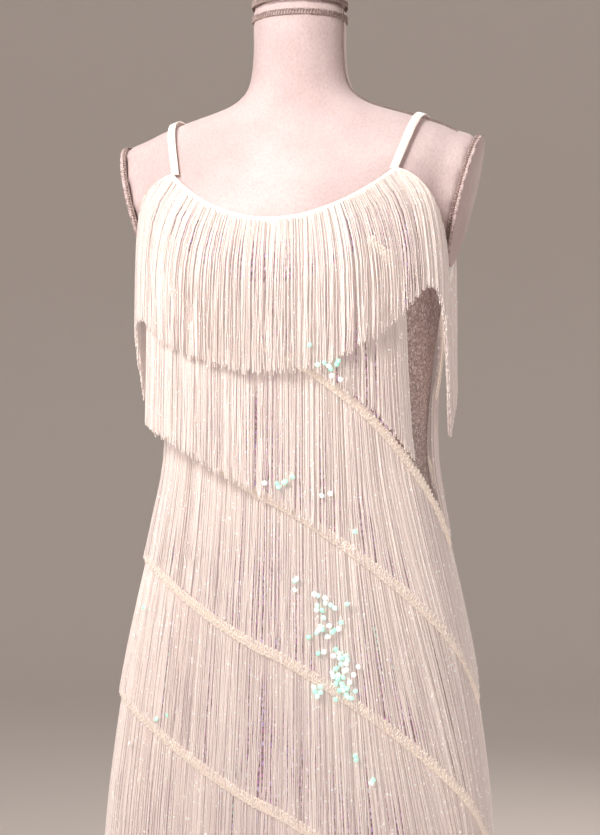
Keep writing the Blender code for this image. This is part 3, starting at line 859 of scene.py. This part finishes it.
def add_shell(name, points, material, wall, offset=1.0):
    """Thin wall on a grid of points; at offset 1 the points lie on its inner face."""
    piece = add_object(name, surface(name, points), material)
    solidify = piece.modifiers.new("Wall", "SOLIDIFY")
    solidify.thickness = wall
    solidify.offset = offset
    return piece


def add_panel(side, material):
    """Sequin cloth panel, a shell on the solid's form with the skirt's soft folds."""
    piece = add_shell("panel_" + side, panel_points(side, 72, 64), material, SHELL_WALL)
    apply_modifiers(piece)
    return finish_piece(piece, "sequin_cloth", "dress_" + side)


def guide(name, points, outward, edges=()):
    """Points with their outward directions, loose or joined by edges, for a tree to set things on."""
    mesh = bpy.data.meshes.new(name)
    mesh.from_pydata(points.tolist(), edges, [])
    layer = mesh.attributes.new("out", "FLOAT_VECTOR", "POINT")
    layer.data.foreach_set("vector", outward.astype(np.float32).ravel())
    return add_object(name, mesh)


def guide_line(name, points, outward):
    """Open guide through points in order."""
    return guide(name, points, outward, [(i, i + 1) for i in range(len(points) - 1)])


def guide_ring(name, points, outward):
    """Closed guide through points in order."""
    count = len(points)
    return guide(name, points, outward, [(i, (i + 1) % count) for i in range(count)])


def add_sequins(side, tree, material):
    """Rows of sequins sewn over a panel, set half a pitch off from row to row."""
    places = []
    outs = []
    row = 0
    z = HEM_Z + 0.004
    highest = max(top_edge(0 if side == "front" else 180), STRAP_POINT_Z)
    while z < highest:
        half_turn = np.linspace(-1, 1, 400)
        angle = np.array([panel_angle(side, a) for a in half_turn])
        ring = section_points(DRESS_SECTIONS, angle, np.full(angle.shape, z))
        along = np.concatenate([[0], np.cumsum(np.linalg.norm(np.diff(ring, axis=0), axis=1))])
        first = SEQUIN_PITCH * (0.5 if row % 2 else 1.0)
        at = np.arange(first, along[-1] - SEQUIN_PITCH / 2, SEQUIN_PITCH)
        across = np.interp(at, along, half_turn)
        for place in across:
            turn = panel_angle(side, place)
            if abs(place) < SEQUIN_REACH and z < top_edge(turn) - 0.004:
                places.append(turn)
                outs.append(z)
        row += 1
        z += SEQUIN_PITCH * math.sqrt(3) / 2
    angle = np.array(places)
    z = np.array(outs)
    points = section_points(DRESS_SECTIONS, angle, z)
    outward = section_normals(DRESS_SECTIONS, angle, z)
    points = folded(points + outward * (SHELL_WALL + SEQUIN_LIFT), angle, z)
    cloud = guide("sequin_points", points, outward)
    piece = grow("sequins_" + side, cloud, tree, {
        "Radius": SEQUIN_RADIUS, "Tilt": 0.22, "Sides": 6, "Seed": 5 if side == "front" else 6,
        "Material": material,
    })
    return finish_piece(piece, "sequin_cloth")


def add_bright_sequins(tree, material):
    """Sequins that have worked out between the strands in front, in loose groups, their glint painted into
    their material.
    """
    pick = random.Random(17)
    angles = []
    heights = []
    lifts = []
    for angle, z, spread_angle, spread_z, count, lift in BRIGHT_GROUPS:
        for i in range(count):
            angles.append(pick.gauss(angle, spread_angle))
            heights.append(pick.gauss(z, spread_z))
            lifts.append(lift)
    angle = np.array(angles)
    z = np.array(heights)
    lift = np.array(lifts)[:, None]
    outward = section_normals(DRESS_SECTIONS, angle, z)
    points = section_points(DRESS_SECTIONS, angle, z) + outward * (CLOTH_WALL + lift)
    cloud = guide("bright_points", folded(points, angle, z), outward)
    piece = grow("sequins_bright", cloud, tree, {
        "Radius": BRIGHT_RADIUS, "Tilt": 0.5, "Sides": 8, "Seed": 9, "Material": material,
    })
    return finish_piece(piece, "sequin_cloth")


def add_binding(side, material):
    """White binding of the upper edge: a band behind the strands' starts and a rolled lip over them."""
    across = np.linspace(-FRINGE_END, FRINGE_END, 241)
    if side == "back":
        across = across[::-1]
    angle = np.array([panel_angle(side, a) for a in across])
    edge = np.array([top_edge(a) for a in angle])
    profile = [(0.8, 0.6), (1.8, 1.8), (2.0, 3.6), (0.8, 5.8), (-1.2, 6.6), (-3.2, 6.4), (-5.0, 5.4),
               (-5.6, 4.2), (-8.0, 3.4), (-15.0, 3.6), (-22.0, 4.2)]
    columns = []
    for height, lift in profile:
        z = edge + height * MM
        points = section_points(DRESS_SECTIONS, angle, z)
        columns.append(points + section_normals(DRESS_SECTIONS, angle, z) * lift * MM)
    piece = add_shell("binding_" + side, np.stack(columns, axis=1), material, 0.6 * MM, 0.0)
    apply_modifiers(piece)
    return finish_piece(piece, "fringe")


def side_lean(angle):
    """Sideways lean of the rows' strands, in degrees a metre of drop, toward the wearer's left side."""
    return LEAN_PEAK * np.exp(-((angle - LEAN_ANGLE) / LEAN_WIDTH) ** 2)


def sewn_span(span):
    """A row's stretch, run on to the side seam where it ends close to it."""
    return [math.copysign(SIDE_MEET, end) if abs(end) >= FRINGE_END else end for end in span]


def fringe_bed(side, span, ends, hang, below=0.0, lean=False, across_steps=90, down_steps=16):
    """Surface that a fringe's strands follow, with the arc length of its upper edge.

    The strands may run on below the fringe's wall, to rest on the next header.
    """
    across = np.linspace(*sewn_span(span), across_steps + 1)
    if side == "back":
        across = across[::-1]
    angle = np.array([panel_angle(side, a) for a in across])
    upper = []
    lower = []
    for place in across:
        top, tip = ends(place)
        if lean:
            for i in range(3):
                shift = side_lean(panel_angle(side, place)) * (top - tip) / SIDE_SEAM
                tip = min(ends(place)[1], ends(min(place + shift, FRINGE_END))[1])
        upper.append(top)
        lower.append(max(tip - below, HEM_Z))
    upper = np.array(upper)[:, None]
    lower = np.array(lower)[:, None]
    down = np.linspace(0, 1, down_steps + 1)[None, :]
    angle = np.broadcast_to(angle[:, None], (len(across), down_steps + 1))
    drop = (upper - lower) * down
    lift = hang[0] + (hang[1] - hang[0]) * down + np.zeros(drop.shape)
    turn = side_lean(angle) if lean else 0.0
    points = hanging_points(angle, upper + np.zeros(drop.shape), drop, hang, lift, turn)
    z = upper - drop
    points = folded(points, angle, z)
    level = points[:, 0, :2]
    width = float(np.linalg.norm(np.diff(level, axis=0), axis=1).sum())
    return points, width


def add_strands(name, bed, tree, material, look):
    """One fringe of loose strands in place of its plain solid."""
    points, width = bed
    cloth = add_object("bed", surface("bed", points))
    values = {
        "Strands": round(width / STRAND_PITCH * STRAND_LAYERS), "Steps": STRAND_STEPS,
        "Radius": STRAND_RADIUS, "Width": width, "Clump": 9 * MM, "Sway": 2.6 * MM, "Lift": 3.5 * MM,
        "Ragged": 0.05, "Material": material,
    }
    values.update(look)
    piece = grow(name, cloth, tree, values)
    return finish_piece(piece, "fringe", name.replace("strands", "fringe"))


def header_places(side, row, samples=240):
    """Angles and heights of a row's header, where it stays clear of the upper edge."""
    angles = []
    heights = []
    for across in np.linspace(*sewn_span(row_span(side, row)), samples):
        line_z = header_height(row, across)
        if row_ends(side, row, across)[0] >= line_z - 1e-9:
            angles.append(panel_angle(side, across))
            heights.append(line_z)
    return np.array(angles), np.array(heights)


def add_header(name, angle, z, tree, material, seed):
    """Braid that heads a fringe: a narrow tape carrying upright loops of chained cord."""
    outward = section_normals(DRESS_SECTIONS, angle, z)
    base = folded(section_points(DRESS_SECTIONS, angle, z), angle, z)
    pieces = []
    for layer_number, (height, lift, width) in enumerate(HEADER_LOOPS):
        points = base + outward * (CLOTH_WALL + lift) + np.array([0, 0, height])
        line = guide_line("chain", points, outward)
        pieces.append(grow("chain", line, tree, {
            "Pitch": CHAIN_PITCH, "Loop length": 2.6 * MM, "Loop width": width, "Thread": 0.8 * MM,
            "Lean": 0.22, "Uneven": 0.30, "Seed": seed + layer_number, "Material": material,
        }))
    heights = (5.0 * MM, 2.0 * MM, -2.0 * MM, -4.5 * MM)
    tape = np.stack([base + outward * (CLOTH_WALL + HEADER_TAPE_LIFT) + np.array([0, 0, dz])
                     for dz in heights], axis=1)
    if angle[-1] < angle[0]:
        tape = tape[::-1]
    band = add_shell("tape", tape, material, 0.8 * MM)
    apply_modifiers(band)
    pieces.append(band)
    piece = join(name, pieces, material)
    return finish_piece(piece, "fringe")


def join(name, pieces, material):
    """One object of one material from several mesh objects."""
    work = bmesh.new()
    for item in pieces:
        work.from_mesh(item.data)
    mesh = bpy.data.meshes.new(name)
    work.to_mesh(mesh)
    work.free()
    for item in pieces:
        bpy.data.objects.remove(item)
    for polygon in mesh.polygons:
        polygon.material_index = 0
    return add_object(name, mesh, material)


def strap_line(x, samples=40):
    """Line over the form's shoulder, from the front strap point at x to the back one."""
    crest_x = x + math.copysign(STRAP_SPREAD, x)
    heights = np.arange(STRAP_POINT_Z, STRAP_POINT_Z + 0.08, 0.0002)
    crest_z = heights[smooth_columns(FORM_SECTIONS, heights)[0] > abs(crest_x)].max()
    line = []
    for facing, start_z in ((-1, STRAP_POINT_Z), (1, BACK_STRAP_POINT_Z)):
        rise = np.sin(np.radians(np.linspace(0, 90, samples)))
        z = start_z + (crest_z - start_z) * rise
        at_x = x + (crest_x - x) * rise
        half_width, front, back, squareness = smooth_columns(FORM_SECTIONS, z)
        share = np.clip(1 - (np.abs(at_x) / half_width) ** squareness, 0, None)
        depth = front if facing < 0 else back
        half = np.stack([at_x, facing * depth * share ** (1 / squareness), z], axis=1)
        line.append(half if facing < 0 else half[-2::-1])
    return np.concatenate(line)


def add_strap(side, sign, material):
    """Narrow satin strap, soft at its edges, lying just above the shoulder."""
    strap_x = float(section_points(DRESS_SECTIONS, STRAP_ANGLE, STRAP_POINT_Z)[0])
    middle = strap_line(sign * strap_x)
    columns = []
    for edge, crown in ((-0.5, 0.0), (-0.25, 0.2), (0.0, 0.25), (0.25, 0.2), (0.5, 0.0)):
        line = strap_line(sign * strap_x + edge * STRAP_WIDTH)
        line[:, 1] += STRAP_FLATNESS * (middle[:, 1] - line[:, 1])
        along = np.gradient(line, axis=0)
        out = np.stack([np.zeros(len(line)), -along[:, 2], along[:, 1]], axis=1)
        out /= np.linalg.norm(out, axis=1, keepdims=True)
        kernel = np.ones(9) / 9
        padded = np.pad(out, ((4, 4), (0, 0)), mode="edge")
        out = np.stack([np.convolve(padded[:, k], kernel, mode="valid") for k in range(3)], axis=1)
        columns.append(line + out * (STRAP_LIFT + crown * MM))
    columns = np.stack(columns)[::-1]
    name = "satin_strap_" + side
    piece = add_shell(name, columns, material, 1.0 * MM)
    bevel = piece.modifiers.new("Soft edges", "BEVEL")
    bevel.width = 0.3 * MM
    bevel.segments = 2
    apply_modifiers(piece)
    return finish_piece(piece, "strap", "strap_" + side)


# ---------------------------------------------------------------- dress form and stand

# Slanting overcast stitches of the form's cover.
OVERCAST = {"Pitch": 3.0 * MM, "Loop length": 3.2 * MM, "Loop width": 6.0 * MM, "Thread": 0.7 * MM,
            "Lean": 0.0, "Uneven": 0.22}


def arm_frame(sign):
    """Place and turn of one arm end: its Z axis runs outward through the oval plate."""
    x, y, z = ARM_CENTRE
    turn = Matrix.Rotation(math.radians(sign * (90 + ARM_TILT)), 4, "Y")
    return Matrix.Translation((sign * x, y, z)) @ turn


def arm_solid(work, sign, start, end, depth_radius, height_radius, start_share, segments):
    """Add an oval cylinder or cone on the arm end's axis, between two distances from its plate."""
    made = bmesh.ops.create_cone(work, cap_ends=True, segments=segments, radius1=start_share, radius2=1,
                                 depth=1)
    size = Matrix.Diagonal((height_radius, depth_radius, end - start, 1))
    shift = Matrix.Translation((0, 0, (start + end) / 2))
    bmesh.ops.transform(work, matrix=arm_frame(sign) @ shift @ size, verts=made["verts"])


def finished_mesh(name, work):
    """Smooth mesh of a closed body, with its faces pointing out."""
    bmesh.ops.recalc_face_normals(work, faces=work.faces)
    mesh = bpy.data.meshes.new(name)
    work.to_mesh(mesh)
    work.free()
    mesh.shade_smooth()
    return mesh


def closed_rings(work, rings):
    """Add a closed body through level rings of equal length."""
    loops = [[work.verts.new(point) for point in ring] for ring in rings]
    count = len(loops[0])
    for lower, upper in zip(loops, loops[1:]):
        for i in range(count):
            k = (i + 1) % count
            work.faces.new((lower[i], lower[k], upper[k], upper[i]))
    work.faces.new(loops[0][::-1])
    work.faces.new(loops[-1])


def add_torso(material):
    """Torso, neck and arm ends as one smooth body: the parts melt together where they meet."""
    work = bmesh.new()
    turn = np.linspace(0, 360, 96, endpoint=False)
    heights = np.linspace(FORM_SECTIONS[0][0], NECK_TOP_Z, 200)
    closed_rings(work, [section_points(FORM_SECTIONS, turn, z).tolist() for z in heights])
    for sign in (1, -1):
        arm_solid(work, sign, -ARM_LENGTH, 0, ARM_DEPTH_RADIUS, ARM_HEIGHT_RADIUS, ARM_ROOT_SHARE, 64)
    piece = add_object("torso", finished_mesh("torso", work), material)
    melt = piece.modifiers.new("Melt", "REMESH")
    melt.mode = "VOXEL"
    melt.voxel_size = 7 * MM
    melt.use_smooth_shade = True
    relax = piece.modifiers.new("Relax", "SMOOTH")
    relax.factor = 0.5
    relax.iterations = 6
    apply_modifiers(piece)
    return finish_piece(piece, "jersey", "form_torso")


def add_plate(name, sign, tree, material, thread):
    """Oval plate on an arm end, its cover overcast to the sleeve end with slanting stitches."""
    work = bmesh.new()
    arm_solid(work, sign, PLATE_GAP, PLATE_GAP + PLATE_THICKNESS, ARM_DEPTH_RADIUS + PLATE_OVERHANG,
              ARM_HEIGHT_RADIUS + PLATE_OVERHANG, 1.0, 96)
    plate = add_object(name, finished_mesh(name, work), material)
    bevel = plate.modifiers.new("Round", "BEVEL")
    bevel.width = 1.6 * MM
    bevel.segments = 3
    bevel.limit_method = "ANGLE"
    apply_modifiers(plate)
    plate.data.shade_smooth()
    turn = np.radians(np.linspace(0, 360, 160, endpoint=False))
    frame = np.array(arm_frame(sign))
    radius = np.array([ARM_HEIGHT_RADIUS + 1.0 * MM, ARM_DEPTH_RADIUS + 1.0 * MM])
    local = np.stack([radius[0] * np.cos(turn), radius[1] * np.sin(turn), np.full(turn.shape, 0.6 * MM),
                      np.ones(turn.shape)], axis=1)
    out = np.stack([np.cos(turn) / radius[0], np.sin(turn) / radius[1], np.zeros(turn.shape)], axis=1)
    out /= np.linalg.norm(out, axis=1, keepdims=True)
    line = guide_ring("overcast", (local @ frame.T)[:, :3], out @ frame[:3, :3].T)
    stitches = grow(name + "_stitches", line, tree, OVERCAST | {"Material": thread, "Seed": 3})
    finish_piece(stitches, "jersey")
    return finish_piece(plate, "jersey", "form_" + name)


def add_neck_plate(tree, material, thread):
    """Plate on the neck with a rolled, overcast edge below it."""
    turn = np.linspace(0, 360, 96, endpoint=False)
    edge = section_points(FORM_SECTIONS, turn, NECK_TOP_Z)
    work = bmesh.new()
    profile = ((0.985, 0.3 * MM), (1.0, 1.2 * MM), (1.0, 3.0 * MM), (0.97, 4.3 * MM))
    closed_rings(work, [(edge * (share, share, 1) + (0, 0, height)).tolist() for share, height in profile])
    plate = add_object("neck_plate", finished_mesh("neck_plate", work), material)
    pieces = []
    for height in (-1.0 * MM, -16.0 * MM):
        z = np.full(turn.shape, NECK_TOP_Z + height)
        out = section_normals(FORM_SECTIONS, turn, z)
        line = guide_ring("overcast", section_points(FORM_SECTIONS, turn, z) + out * 0.3 * MM, out)
        pieces.append(grow("overcast", line, tree, OVERCAST | {"Material": thread, "Seed": 8}))
    finish_piece(join("neck_stitches", pieces, thread), "jersey")
    return finish_piece(plate, "jersey", "form_neck_plate")


def add_neck_seam(tree, material):
    """Closing seam down the neck on the wearer's left and along the shoulder's front."""
    z = np.concatenate([np.linspace(NECK_TOP_Z - 0.004, 1.392, 40), np.linspace(1.391, 1.344, 60)])
    angle = np.linspace(76, 80, 100)
    out = section_normals(FORM_SECTIONS, angle, z)
    points = section_points(FORM_SECTIONS, angle, z) + out * 0.6 * MM
    points[40:, 2] += 1.0 * MM
    piece = grow("neck_seam", guide_line("neck_seam", points, out), tree, {
        "Pitch": 2.2 * MM, "Loop length": 2.6 * MM, "Loop width": 2.4 * MM, "Thread": 0.4 * MM,
        "Lean": 0.15, "Uneven": 0.15, "Seed": 4, "Material": material,
    })
    return finish_piece(piece, "jersey")


# ---------------------------------------------------------------- stage, light and camera

CAMERA_AZIMUTH = 13.0
CAMERA_DISTANCE = 1.8
CAMERA_Z = 1.058
VIEW_HEIGHT = 0.86
FLOOR_RADIUS = 5.0
COVE = 2.0
BACKDROP_HEIGHT = 6.0
FLOOR_GAP = 0.5 * MM


def add_stage():
    """Pale floor that curves up into a plain round backdrop."""
    bend = np.radians(np.linspace(6, 90, 15))
    profile = [(FLOOR_RADIUS, 0.0)]
    profile += [(FLOOR_RADIUS + COVE * math.sin(a), COVE - COVE * math.cos(a)) for a in bend]
    profile.append((FLOOR_RADIUS + COVE, BACKDROP_HEIGHT))
    turn = np.radians(np.linspace(0, 360, 96, endpoint=False))
    work = bmesh.new()
    loops = []
    for radius, z in profile:
        ring = [(radius * math.cos(a), radius * math.sin(a), z - FLOOR_GAP) for a in turn]
        loops.append([work.verts.new(point) for point in ring])
    work.faces.new(loops[0])
    for lower, upper in zip(loops, loops[1:]):
        for i in range(len(turn)):
            k = (i + 1) % len(turn)
            work.faces.new((lower[i], upper[i], upper[k], lower[k]))
    mesh = bpy.data.meshes.new("floor")
    work.to_mesh(mesh)
    work.free()
    mesh.shade_smooth()
    material, _, shader = new_material("backdrop_paper", 0.9)
    shader.inputs["Base Color"].default_value = linear("DED7D0")
    floor = add_object("floor", mesh, material)


def add_area_light(name, place, target, size, power, colour):
    light = bpy.data.lights.new(name, "AREA")
    light.shape = "DISK"
    light.size = size
    light.energy = power
    light.color = linear(colour)[:3]
    item = bpy.data.objects.new(name, light)
    item.location = place
    item.rotation_euler = (Vector(target) - Vector(place)).to_track_quat("-Z", "Y").to_euler()
    bpy.context.scene.collection.objects.link(item)
    return light


def add_light():
    """Soft studio light: a large key from the front left, a lamp over the neckline and a weak fill."""
    chest = (0.0, 0.0, 1.15)
    add_area_light("key", (-0.9, -1.75, 2.2), (0.0, 0.0, 1.25), 1.3, 37, "FFF8F5")
    top = add_area_light("top", (-0.35, -1.25, 2.15), (-0.03, -0.1, 1.29), 0.35, 0.75, "FFFCF6")
    top.spread = math.radians(38)
    add_area_light("fill", (2.2, -1.8, 1.2), chest, 2.0, 9, "FFF2F0")
    add_area_light("back", (0.6, 2.6, 2.4), chest, 1.8, 34, "FFF6F0")
    world = bpy.data.worlds.new("soft light")
    world.use_nodes = True
    background = world.node_tree.nodes["Background"]
    background.inputs["Color"].default_value = linear("FFF8F8")
    background.inputs["Strength"].default_value = 0.53
    bpy.context.scene.world = world
    bpy.context.scene.view_settings.view_transform = "Standard"


def add_camera():
    azimuth = math.radians(CAMERA_AZIMUTH)
    camera = bpy.data.cameras.new("camera")
    camera.sensor_width = 36.0
    camera.lens = 36.0 * CAMERA_DISTANCE / VIEW_HEIGHT
    item = bpy.data.objects.new("camera", camera)
    back = Vector((math.sin(azimuth), -math.cos(azimuth), 0))
    item.location = back * CAMERA_DISTANCE + Vector((0, 0, CAMERA_Z))
    item.rotation_euler = (math.radians(90), 0, azimuth)
    bpy.context.scene.collection.objects.link(item)
    bpy.context.scene.camera = item


# ---------------------------------------------------------------- making

def main():
    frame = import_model()
    add_camera()
    add_stage()
    add_light()

    rayon = rayon_chainette()
    braid = cream_braid()
    satin = satin_ribbon()
    jersey = form_jersey()
    ground = sequin_ground()
    sequin = iridescent_sequin()
    painted_glints = painted_glint_sequin()
    edging = satin_binding()
    strands = strand_tree()
    loops = loop_tree()
    discs = sequin_tree()

    for side, seed in (("front", 1), ("back", 41)):
        panel = add_panel(side, ground)
        trims = [add_sequins(side, discs, sequin), add_binding(side, edging)]
        bed = fringe_bed(side, (-FRINGE_END, FRINGE_END), lambda a, side=side: top_ends(side, a), TOP_HANG)
        trims.append(add_strands("strands_top_" + side, bed, strands, rayon, {"Seed": seed}))
        for row in range(len(ROWS)):
            def ends(a, side=side, row=row):
                return row_ends(side, row, a)

            name = f"{side}_{row + 1}"
            bed = fringe_bed(side, row_span(side, row), ends, ROWS[row][2], HEADER_OVERLAP, side == "front")
            trims.append(add_strands("strands_" + name, bed, strands, rayon, {"Seed": seed + 1 + row}))
            angle, z = header_places(side, row)
            if len(angle) > 8:
                trims.append(add_header("braid_" + name, angle, z, loops, braid, seed + 20 + 2 * row))
        if side == "front":
            trims.append(add_bright_sequins(discs, painted_glints))
            trims.append(add_strap("left", 1, satin))
            trims.append(add_strap("right", -1, satin))

    add_torso(jersey)
    thread = cotton_thread()
    add_plate("arm_plate_left", 1, loops, jersey, thread)
    add_plate("arm_plate_right", -1, loops, jersey, thread)
    add_neck_plate(loops, jersey, thread)
    add_neck_seam(loops, thread)
    coat = powder_coat()
    for name in ("stand_base", "stand_pole"):
        stand = frame["nodes"][name]
        stand.data.materials.clear()
        stand.data.materials.append(coat)


main()
